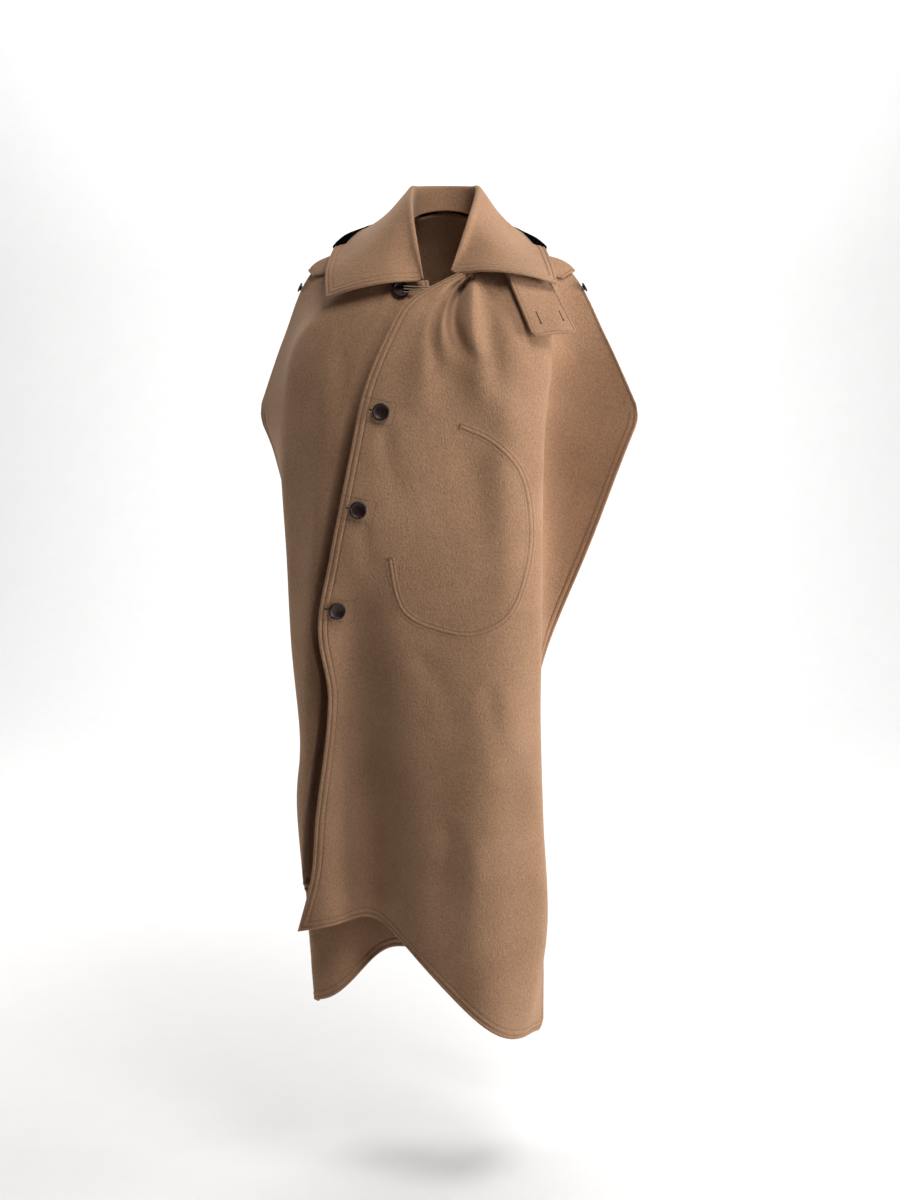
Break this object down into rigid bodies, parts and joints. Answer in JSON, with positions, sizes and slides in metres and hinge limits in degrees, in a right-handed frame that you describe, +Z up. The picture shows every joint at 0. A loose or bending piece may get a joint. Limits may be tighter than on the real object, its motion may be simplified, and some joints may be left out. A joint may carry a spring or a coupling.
{
  "type": "wool cape",
  "caption": "Long heavy wool cape in its worn form: lapped fronts with curved hem, open sides, wide pointed collar, throat tab, shoulder straps and dished buttons",
  "frame": {"origin": "middle of the neck at the height of the shoulders, where a wearer carries the cape", "axes": "+X to the wearer's left, +Y to the wearer's back, +Z up; the front faces -Y"},
  "size_m": [0.5921, 0.387, 1.3075],
  "materials": {
    "wool": "matt brushed wool, camel",
    "under_felt": "matt black felt",
    "horn": "polished dark brown horn"
  },
  "bodies": {
    "root": {"left_front": "wool", "right_front": "wool", "back": "wool", "collar": "wool", "under_collar": "under_felt", "throat_tab": "wool", "shoulder_strap_left": "wool", "shoulder_strap_right": "wool", "pocket_bag": "wool", "button_neck": "horn", "button_upper": "horn", "button_middle": "horn", "button_lower": "horn", "shoulder_button_left": "horn", "shoulder_button_right": "horn"}
  },
  "joints": []
}
